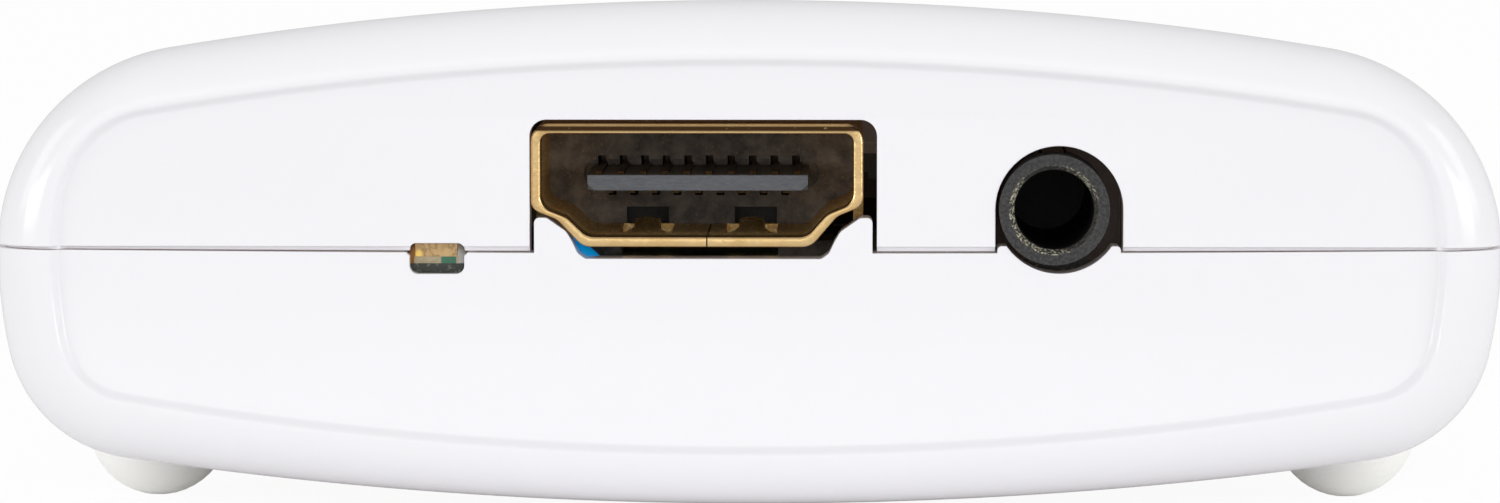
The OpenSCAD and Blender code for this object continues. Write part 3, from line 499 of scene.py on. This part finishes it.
def tab(side):
    """Upstanding tab of the lower shell beside the video socket."""
    h = video_cut_w / 2 - tab_gap
    points = [(h, -1, 0), (h, tab_h, 0.24), (h - 0.55, tab_h, 0.3), (h - 1.44, tab_h - 0.62, 0.5),
              (h - 1.7, tab_h - 1.05, 0.4), (h - 1.96, 0, 0.3), (h - 2.3, -tab_notch, 0.3),
              (h - 3.2, -tab_notch, 0), (h - 3.2, -1, 0)]
    outline = [(video_cut_x + side * x, z) for x, z in rounded(points)]
    return prism("tab", outline, panel_y, panel_y + end_wall)


def horn(side):
    """Small upstanding horn of the lower shell beside the jack."""
    h = jack_cut_r - 0.1
    points = [(h, -1, 0), (h, 0.34, 0.2), (h - 0.52, 0.34, 0.24), (h - 0.85, -0.5, 0), (h - 0.85, -1, 0)]
    outline = [(jack_cut_x + side * x, z) for x, z in rounded(points)]
    return prism("horn", outline, panel_y, panel_y + end_wall)


screw_hole_r = 1.45
screw_seat_r = 2.4
screw_floor = 2.4


bottom = carve(outer_half("bottom_case", False, 0), "INTERSECT", [slab(-20, 0, edge_bow)])
carve(bottom, "DIFFERENCE", [hollow_half("hollow", False)])
notch_h = video_cut_w / 2 - tab_gap
carve(bottom, "DIFFERENCE", [
    block("notch", (video_cut_x - notch_h, front - past, parting - tab_notch),
          (video_cut_x + notch_h, inside, parting + 1), white),
    data_opening()])
for side in (-1, 1):
    carve(bottom, "UNION", [tab(side)])
    carve(bottom, "UNION", [horn(side)])
for x, y in case_screws:
    carve(bottom, "UNION", [rod("post", x, y, case_post_r, parting - 8.8, parting - post_meet, white)])
    seat_z = parting - post_meet - screw_floor
    carve(bottom, "DIFFERENCE", [rod("hole", x, y, screw_hole_r, parting - 14, parting, white),
                                 rod("seat", x, y, screw_seat_r, parting - 14, seat_z, white)])
carve(bottom, "DIFFERENCE", [jack_round(), light_window(), light_pocket()])
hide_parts("bottom_shell")
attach(bottom, "case")


# Feet: four matte warm-white rubber domes, glued into shallow pockets of the
# lower shell and flattened a little where they stand.
# The faint emission is a painted glow that lifts the feet out of the shade under the case.
rubber = Paint("warm white rubber", base_color=colour(251, 251, 248), roughness=0.75,
               emission_color=colour(255, 255, 250), emission_strength=0.06)
rubber.relief(rubber.noise(9, 3), 0.01)


def repaint(node, paint):
    """Gives a carried-over CAD piece its finish."""
    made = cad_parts[node]
    for entry in made.material_slots:
        entry.material = paint.material
    return made


for end in ("front", "rear"):
    for side in ("left", "right"):
        repaint("foot_%s_%s" % (end, side), rubber)


# Screws: plain steel, cross recessed, up through the lower shell and down
# through the board.
steel = Paint("plain steel", base_color=colour(190, 190, 192), metallic=1, roughness=0.35)
steel.relief(steel.noise(6, 3), 0.01, 0.05)
repaint("case_screws", steel)
repaint("board_screws", steel)

# Circuit board: green solder mask over glass laminate, cut edges showing the
# darker core.
laminate = Paint("solder mask", base_color=colour(20, 90, 60), roughness=0.4)
edge_x = (laminate.axis("X") - light_x).math("ABSOLUTE", 0).above(1.3, 0.02)
behind_tab = laminate.axis("Y").above(panel_y + 0.9, 0.02)
behind_front = laminate.axis("Y").above(front + 4.05, 0.02)
core = behind_tab * (1 - edge_x) + behind_front * edge_x
cut_edge = laminate.mix(laminate.noise(6, 4).above(0.6, 0.12), colour(56, 60, 54), colour(118, 122, 110))
laminate.set("Base Color", laminate.mix(core, cut_edge, colour(18, 88, 58)))
laminate.relief(laminate.noise(7, 4), 0.02)
repaint("main_board", laminate)

# Video socket: a sheet shell folded around a seam at its floor, with rolled
# front edges and gold plating; a dark moulded block with a tongue stands inside
# it and carries gold contacts. Two springs cut from the floor grip the plug.
video_x = -2.29
video_y = panel_y + 0.2
video_z = 0.27
video_w = 15
video_h = 5.57
video_t = 0.46
video_l = 11.6
video_r = 0.85
video_floor_w = 5.13
shoulder_in = 1.17
edge_r = 0.13
spring_pitch = 4.8
spring_mid = -0.02
spring_root = 2.8
spring_l = 5.9
spring_slot_w = 2.38
spring_tip_w = 1.13
spring_t = 0.24
spring_rise = 0.44

gold = Paint("gold plate", metallic=1)
brushed = gold.noise(4, 4, (1, 0.2, 1))
worn = gold.noise(0.9, 3)
gold_top = gold.axis("Z") - (parting + video_z + video_h)
edge_face = 1 - gold.axis("Y").above(video_y + 0.12, 0.08)
# Painted reflection: a dark band, speckled by noise, is painted along the top of the socket's front edge,
# where it stands for a dark reflection; it is rougher there too.
painted_dark_band = gold_top.between(-0.34, -0.1, 0.1) * edge_face * gold.noise(5, 4, (0.5, 1, 1)).above(0.25, 0.25)
inward = gold.axis("Y").above(video_y + 0.5, 0.5)
plate = gold.mix(worn, colour(210, 170, 110), colour(242, 214, 160))
grain_glint_and_shade = gold.mix(gold.noise(3.5, 4), colour(190, 136, 66), colour(255, 222, 150))
# Painted glints: bright flecks on the inner surfaces.
grain_glint_and_shade = gold.mix(gold.noise(6, 4, (1, 0.4, 1)).above(0.6, 0.1), grain_glint_and_shade, colour(255, 236, 190))
# Painted shade: the inner wall from just behind the front edge is darkened towards brown.
shade_behind_edge = gold.axis("Y").between(video_y + 0.35, video_y + 1.5, 0.4)
grain_glint_and_shade = gold.mix(shade_behind_edge * 0.75, grain_glint_and_shade, colour(92, 60, 24))
plate = gold.mix(inward, plate, grain_glint_and_shade)
gold.set("Roughness", 0.12 + 0.2 * brushed + 0.2 * painted_dark_band + 0.25 * inward)
gold.set("Base Color", gold.mix(painted_dark_band, plate, colour(66, 46, 28)))
gold.relief(brushed, 0.014)


def video_outline(inset):
    w = video_w / 2 - inset
    f = video_floor_w - inset * 0.36
    r = max(0.3, video_r - inset)
    outline = [(-w, video_h - inset, r), (w, video_h - inset, r)]
    for side, side_z, knee_z in ((1, 1.87, 1.39), (-1, 1.7, 1.24)):
        lower = [(side * w, side_z + inset * 0.2, 0.6 + inset * 0.3),
                 (side * (w - shoulder_in), knee_z + inset * 0.2, 0.9), (side * f, inset, 0.85)]
        outline += lower if side > 0 else reversed(lower)
    return rounded(outline, 12)


def sheet_ring(inset, y):
    return [(video_x + x, y, parting + video_z + z) for x, z in video_outline(inset)]


def rolled_shell(name, ring, y0, length, t, paint):
    """A folded sheet shell from outside to inside over its front edge, flat with rounded corners."""
    end = y0 + length
    turns = [pi / 2 * i / 6 for i in range(7)]
    rings = [ring(0, end)]
    rings += [ring(edge_r * (1 - cos(a)), y0 + edge_r * (1 - sin(a))) for a in turns]
    rings += [ring(t - edge_r * (1 - sin(a)), y0 + edge_r * (1 - cos(a))) for a in turns]
    rings.append(ring(t, end))
    n, m = len(rings[0]), len(rings)
    faces = [[j * n + i, j * n + (i + 1) % n, (j + 1) % m * n + (i + 1) % n, (j + 1) % m * n + i]
             for j in range(m) for i in range(n)]
    return piece(name, [p for r in rings for p in r], faces, paint, 40)


shell = rolled_shell("video_shell", sheet_ring, video_y, video_l, video_t, gold)
seam_x = video_x + 0.44
cuts = [block("seam", (seam_x - 0.02, video_y - 1, parting - 1),
              (seam_x + 0.04, video_y + video_l + 1, parting + 1), gold)]
for side in (-1, 1):
    x = video_x + spring_mid + side * spring_pitch / 2
    slot_end = video_y + spring_root + spring_l + 0.15
    cuts.append(block("slot", (x - spring_slot_w / 2, video_y + spring_root, parting - 1),
                      (x + spring_slot_w / 2, slot_end, parting + video_z + 0.6), gold))
carve(shell, "DIFFERENCE", cuts, 40)
for side in (-1, 1):
    for depth in (5.4, 10):
        x = video_x + side * video_w / 2 - (video_t if side > 0 else 0)
        leg = block("leg", (x, video_y + depth, parting + board_bottom - 0.7),
                    (x + video_t, video_y + depth + 1.4, parting + video_z + 2.8), gold)
        carve(shell, "UNION", [leg], 40)
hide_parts("video_socket_shell")
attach(shell, "case")


def retention_spring(side):
    """A finger that rises from the shell's floor to a crest and dips to its tip."""
    x = video_x + spring_mid + side * spring_pitch / 2
    floor_z = parting + video_z + video_t
    rings = []
    steps = 24
    for i in range(steps + 1):
        share = i / steps
        y = video_y + spring_root - 0.02 + spring_l * share
        rise = spring_rise * (0.5 - 0.5 * cos(pi * min(1, share / 0.7))) if share < 0.75 else \
            spring_rise * (0.62 + 0.38 * cos(pi * (share - 0.75) / 0.25))
        half = (spring_slot_w - 0.2 + (spring_tip_w - spring_slot_w + 0.2) * min(1, share / 0.35)) / 2
        crown = 0.1 * min(1, share / 0.35)
        upper = [(x + half * k / 4, y, floor_z + rise - crown * (k / 4) ** 2) for k in range(4, -5, -1)]
        rings.append(upper + [(px, py, pz - spring_t) for px, py, pz in reversed(upper)])
    return loft("spring_%s" % ("left" if side < 0 else "right"), rings, gold, 40)


for side, node in ((-1, "retention_spring_left"), (1, "retention_spring_right")):
    spring = retention_spring(side)
    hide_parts(node)
    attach(spring, node)

moulding = Paint("dark moulding", roughness=0.5)
grain = moulding.noise(7, 5)
flow = moulding.noise(1.1, 4)
dark = moulding.mix(flow.above(0.5, 0.5), colour(62, 55, 49), colour(122, 114, 106))
dark = moulding.mix(grain.above(0.64, 0.1) * 0.8, dark, colour(136, 118, 96))
# Painted shade: everything more than half a millimetre behind the block's face is painted near-black, so the
# slots and notches read dark; this also paints the whole data socket moulding near-black.
painted_shade_deep = moulding.axis("Y").above(video_y + 9.5, 0.1)
moulding.set("Base Color", moulding.mix(painted_shade_deep, dark, colour(14, 9, 6)))
moulding.relief(grain, 0.04)
repaint("data_socket_insulator", moulding)

face_y = video_y + 9
insulator_back = face_y + 4.4
tongue_w = 10
tongue_t = 0.7
tongue_z = video_z + 2.46
race_w = 10.9
race_h = 1.28
notch_x = video_x + 0.02
notch_pitch = 5.01
slot_w = 0.36


def mould_ring(y):
    return [(video_x + x, y, parting + video_z + z) for x, z in video_outline(video_t)]


block_body = loft("video_block", [mould_ring(face_y), mould_ring(insulator_back)], moulding)


def on_block(operation, name, x0, x1, y0, y1, z0, z1):
    """Joins a square-edged block to the moulding, or cuts it out."""
    carve(block_body, operation, [block(name, (x0, y0, parting + z0), (x1, y1, parting + z1), moulding)])


for side in (-1, 1):
    foot_low, foot_high = video_x + side * 4.85 - 1.25, video_x + side * 4.85 + 1.25
    on_block("UNION", "foot", foot_low, foot_high, video_y + video_l + 0.05, insulator_back,
             board_top, video_z + video_t + 0.3)
    on_block("UNION", "pad", foot_low, foot_high, panel_y + 5.3, insulator_back - 0.1,
             board_top, video_z - 0.05)
race = rounded([(video_x + sx * race_w / 2, tongue_z + tongue_t / 2 + sz * race_h / 2, race_h / 2 - 0.04)
                for sx, sz in ((-1, -1), (1, -1), (1, 1), (-1, 1))])
carve(block_body, "DIFFERENCE", [prism("race", race, face_y - 1, face_y + 0.4, moulding)])
on_block("DIFFERENCE", "seat", video_x - tongue_w / 2, video_x + tongue_w / 2, face_y - 1, face_y + 0.8,
         tongue_z, tongue_z + tongue_t)
for i in range(10):
    x = video_x + i - 4.62
    on_block("DIFFERENCE", "slot", x - slot_w / 2, x + slot_w / 2, face_y - 1, insulator_back + 1,
             tongue_z + tongue_t, video_z + 3.62)
for i in range(9):
    x = video_x + i - 4.12
    on_block("DIFFERENCE", "slot", x - slot_w / 2, x + slot_w / 2, face_y - 1, insulator_back + 1,
             video_z + 1.78, tongue_z)
for side in (-1, 1):
    x = notch_x + side * notch_pitch / 2
    on_block("DIFFERENCE", "notch", x - 0.98, x + 0.98, face_y - 1, face_y + 0.9, video_z - 1, video_z + 1.24)
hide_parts("video_socket_insulator")
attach(block_body, "case")

tongue = Paint("grey moulding", roughness=0.45)
streaks = tongue.noise(3, 4, (1, 1, 5))
tongue.set("Base Color", tongue.mix(streaks, colour(58, 62, 68), colour(104, 106, 110)))
tongue.relief(streaks, 0.03, 0.06)
repaint("video_socket_tongue", tongue)

# The contacts and the jack's sleeve leaf are gold plated; they are painted dark brown as shade where they sit
# deep in slots.
gold_painted_dark = Paint("gold plate painted dark", metallic=1, roughness=0.35)
gold_painted_dark.set("Base Color", gold_painted_dark.mix(gold_painted_dark.noise(3, 2), colour(34, 24, 14), colour(70, 50, 28)))
for node in ("video_socket_contacts", "data_socket_contacts"):
    repaint(node, gold_painted_dark)

# Audio jack: a dark grey glass-filled moulding whose round nose fills the
# arch; its bevelled mouth carries light speckles painted as highlights. Plated leaves press inwards.
jack_x = 13.81
jack_y = panel_y - 0.1
nose_r = 2.5
bore_r = 1.8
mouth_r = 2

jack_grey = Paint("jack moulding", roughness=0.5)
across = jack_grey.axis("X") - jack_x
height = jack_grey.axis("Z") - (parting + jack_z)
out = (across * across + height * height).math("POWER", 0.5)
deep = jack_grey.axis("Y")
bevel = out.between(bore_r - 0.06, mouth_r + 0.03, 0.08) * (1 - deep.above(jack_y + 0.36, 0.1))
# Painted highlights: light speckles on the bevel, weighted strongest at the left, the bottom and the upper
# right.
rub = ((across * -1).above(1.5, 0.7) + (height * -0.9 - across * 0.3).above(1.5, 0.5) * 0.8
       + (across * 0.7 + height * 0.7).above(1.7, 0.4) * 0.6)
painted_glints = jack_grey.noise(9, 4).above(0.54, 0.12) * bevel * (0.1 + rub)
# Painted shade: the bore behind its mouth is painted near-black.
painted_shade_in_bore = (1 - out.above(bore_r + 0.03, 0.02)) * deep.above(jack_y + 0.3, 0.2)
# Painted light: the housing's face behind the nose, which lies in shade, is painted a lighter brown.
painted_light_behind_nose = out.above(nose_r + 0.03, 0.02)
skin = jack_grey.mix(jack_grey.noise(7, 5).above(0.5, 0.3), colour(30, 29, 29), colour(58, 57, 57))
skin = jack_grey.mix(painted_light_behind_nose, skin, colour(112, 99, 92))
skin = jack_grey.mix(painted_glints, skin, colour(190, 184, 160))
jack_grey.set("Base Color", jack_grey.mix(painted_shade_in_bore, skin, colour(9, 6, 5)))
jack_grey.relief(jack_grey.noise(9, 5), 0.035)
repaint("jack_housing", jack_grey)

nickel = Paint("nickel plate", base_color=colour(205, 203, 192), metallic=1)
scuffs = nickel.noise(5, 3)
nickel.set("Roughness", 0.2 + 0.2 * scuffs)
nickel.relief(scuffs, 0.01)
for node in ("jack_tip_leaf", "jack_ring_leaf", "data_socket_shell", "crystal"):
    repaint(node, nickel)
repaint("jack_sleeve_leaf", gold_painted_dark)

# Status light: a chip light at the board's edge, a pale base under a strip of
# amber resin, with a solder fillet at each end.
light_y = panel_y + 0.85
pale = Paint("light base", roughness=0.55)
fibre = pale.noise(6, 4, (1, 1, 3))
base_stone = pale.mix(fibre, colour(152, 138, 106), colour(212, 198, 164))
green_end = pale.axis("X").above(light_x + 0.22, 0.1) * (1 - pale.axis("X").above(light_x + 0.9, 0.06))
pale.set("Base Color", pale.mix(green_end, base_stone, colour(66, 124, 98)))
repaint("status_light_base", pale)
# The resin's emission is a painted glow that lifts the lens out of the shade behind the window, and a small
# bright spot painted near its left end glows with it.
amber = Paint("amber resin", roughness=0.2, ior=1.5, emission_strength=0.12)
cloud = amber.noise(2.6, 4)
crease = amber.noise(1.7, 5).between(0.47, 0.53, 0.03)
from_spot = amber.axis("X") - (light_x - 0.8)
spot_up = amber.axis("Z") - (parting + board_top + 0.42)
painted_bright_spot = 1 - (from_spot * from_spot + spot_up * spot_up).math("POWER", 0.5).above(0.17, 0.22)
tint = amber.mix(cloud, colour(166, 128, 76), colour(222, 190, 136))
tint = amber.mix(crease * 0.45, tint, colour(120, 92, 58))
tint = amber.mix(painted_bright_spot, tint, colour(255, 216, 110))
amber.set("Base Color", tint)
amber.set("Emission Color", tint)
amber.relief(cloud, 0.03)
repaint("status_light_lens", amber)

solder = Paint("solder", metallic=0.25)
wrinkle = solder.noise(4, 3)
flux = 1 - solder.axis("X").above(light_x, 0.4)
solder.set("Base Color", solder.mix(flux, colour(206, 206, 200), colour(200, 146, 86)))
solder.set("Roughness", 0.22 + 0.2 * wrinkle)
solder.relief(wrinkle, 0.02)


def fillet(name, x, reach):
    """A solder fillet at one end of the light: high at the light, running out on the board."""
    rings = []
    steps = 10
    for i in range(steps + 1):
        share = i / steps
        high = 0.9 - 0.45 * share ** 1.5
        wide = 0.58 * (1 - 0.2 * share)
        ring = [(x + reach * share, light_y + 0.6 + wide * cos(pi * k / 12),
                 parting + board_top + high * sin(pi * k / 12) ** 0.6) for k in range(13)]
        rings.append(ring)
    made = loft(name, rings, solder, 50)
    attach(made, "case")
    return made


fillet("solder_left", light_x - 0.97, -0.32)
fillet("solder_right", light_x + 0.97, 0.4)

# Jumper wire: blue insulated wire hand-soldered as a repair; it comes over
# the board's front edge behind the gap under the video socket.
wire_r = 0.6
wire_x = -7.39
route = [(-4.5, 11, 0.1), (-4.1, 7.6, 0.1), (-3.4, 5, 0.3), (-2.5, 3.4, 0.45), (-1.7, 3.2, 0.45),
         (-0.9, 3.2, 0.12), (-0.1, 3.2, -0.45), (0.6, 3.2, -1.15), (1.3, 3.25, -2), (1.8, 3.75, -2.85),
         (2, 5.2, -2.95), (1.9, 8.5, -2.95)]


def smooth_route(points, steps):
    """A curve through the points."""
    ends = [Vector(p) for p in [points[0], *points, points[-1]]]
    curve = []
    for a, b, c, d in zip(ends, ends[1:], ends[2:], ends[3:]):
        for i in range(steps):
            t = i / steps
            curve.append(0.5 * (2 * b + (c - a) * t + (2 * a - 5 * b + 4 * c - d) * t ** 2
                                + (3 * b - a - 3 * c + d) * t ** 3))
    return curve + [ends[-1]]


def tube(name, path, r, paint, sides=28):
    """A round rod that follows a path."""
    turns = [2 * pi * k / sides for k in range(sides)]
    rings = []
    for i, spot in enumerate(path):
        along = (path[min(i + 1, len(path) - 1)] - path[max(i - 1, 0)]).normalized()
        u = along.cross(Vector((0.3, 0.2, 1))).normalized()
        v = along.cross(u)
        rings.append([spot + r * (u * cos(t) + v * sin(t)) for t in turns])
    return loft(name, rings, paint, 60)


# Painted shade and glow: left of X -9.2 the wire is painted dark blue as shade, and elsewhere it is given a
# painted blue glow.
blue = Paint("blue insulation", roughness=0.3, emission_color=colour(0, 140, 220))
shaded = 1 - blue.axis("X").above(-9.2, 0.5)
lit_blue = blue.mix(blue.noise(1.2, 2), colour(0, 172, 248), colour(30, 196, 255))
blue.set("Base Color", blue.mix(shaded, lit_blue, colour(10, 40, 100)))
blue.set("Emission Color", blue.mix(shaded, colour(0, 140, 220), (0, 0, 0)))
blue.set("Emission Strength", 0.32)
path = [p + Vector((wire_x, front, parting)) for p in smooth_route(route, 10)]
wire = tube("blue_wire", path, wire_r, blue)
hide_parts("jumper_wire")
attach(wire, "case")

# Board parts: moulded chips, a ferrite block with a wound coil under its top,
# drawn cans and fired ceramic, all soldered on the board's top.
epoxy = Paint("chip epoxy", roughness=0.6)
specks = epoxy.noise(8, 4)
epoxy.set("Base Color", epoxy.mix(specks, colour(38, 38, 40), colour(58, 58, 60)))
epoxy.relief(specks, 0.01, 0.06)
for node in ("video_processor", "data_controller", "memory_chip", "audio_converter", "chip_resistors"):
    repaint(node, epoxy)
ferrite = Paint("ferrite", roughness=0.7)
grit = ferrite.noise(6, 5)
ferrite.set("Base Color", ferrite.mix(grit, colour(56, 56, 58), colour(92, 92, 94)))
ferrite.relief(grit, 0.03, 0.08)
repaint("power_inductor", ferrite)
can = Paint("capacitor can", base_color=colour(210, 210, 212), metallic=1)
drawn = can.noise(3, 3, (1, 1, 0.1))
can.set("Roughness", 0.22 + 0.15 * drawn)
can.relief(drawn, 0.01, 0.1)
repaint("storage_capacitors", can)
ceramic = Paint("capacitor ceramic", roughness=0.4)
fired = ceramic.noise(3, 3)
ceramic.set("Base Color", ceramic.mix(fired, colour(160, 128, 88), colour(196, 168, 128)))
ceramic.relief(fired, 0.01, 0.04)
repaint("ceramic_capacitors", ceramic)

# Studio: a pale floor that is nearly white to the camera, with the object's
# shadow left in it, a dim room that is white to the camera, and soft lights.
floor_paint = Paint("floor", base_color=(0.97, 0.97, 0.97), roughness=0.8)
floor_seen = floor_paint.node("ShaderNodeLightPath", out="Is Camera Ray") * 0.93
floor_lit = floor_paint.node("ShaderNodeEmission", sockets={"Color": (1, 1, 1), "Strength": 1.01})
floor_surface = Socket(floor_paint, floor_paint.shader.outputs[0])
floor_look = floor_paint.node("ShaderNodeMixShader", sockets={0: floor_seen, 1: floor_surface, 2: floor_lit})
floor_paint.plug(floor_paint.tree.nodes["Material Output"].inputs["Surface"], floor_look)
floor = piece("floor", [(-3000, -3000, 0), (3000, -3000, 0), (3000, 3000, 0), (-3000, 3000, 0)],
              [(0, 1, 2, 3)], floor_paint)

room_level = 0.61
world = bpy.data.worlds.new("studio")
world.use_nodes = True
bpy.context.scene.world = world
room = Nodes(world.node_tree)
room_seen = room.node("ShaderNodeLightPath", out="Is Camera Ray")
room_look = room.mix(room_seen, (room_level, room_level, room_level), (1, 1, 1))
room.plug(room.tree.nodes["Background"].inputs["Color"], room_look)


def softbox(name, spot, size, watts):
    """A rectangular lamp in metres, turned towards the box."""
    data = bpy.data.lights.new(name, "AREA")
    data.shape = "RECTANGLE"
    data.size, data.size_y = size
    data.energy = watts
    made = bpy.data.objects.new(name, data)
    bpy.context.scene.collection.objects.link(made)
    made.location = spot
    made.rotation_euler = (-Vector(spot)).to_track_quat("-Z", "Y").to_euler()


softbox("front", (0, -1.2, 0.2), (0.9, 0.35), 0.88)
softbox("front left", (-0.75, -0.7, 0.1), (0.5, 0.16), 1.42)
softbox("front right", (0.75, -0.7, 0.1), (0.5, 0.16), 1.47)
softbox("left", (-1.1, -0.45, 0.45), (0.5, 0.7), 2)
softbox("right", (1.1, -0.45, 0.45), (0.5, 0.7), 2.3)

bpy.context.scene.view_settings.view_transform = "Standard"
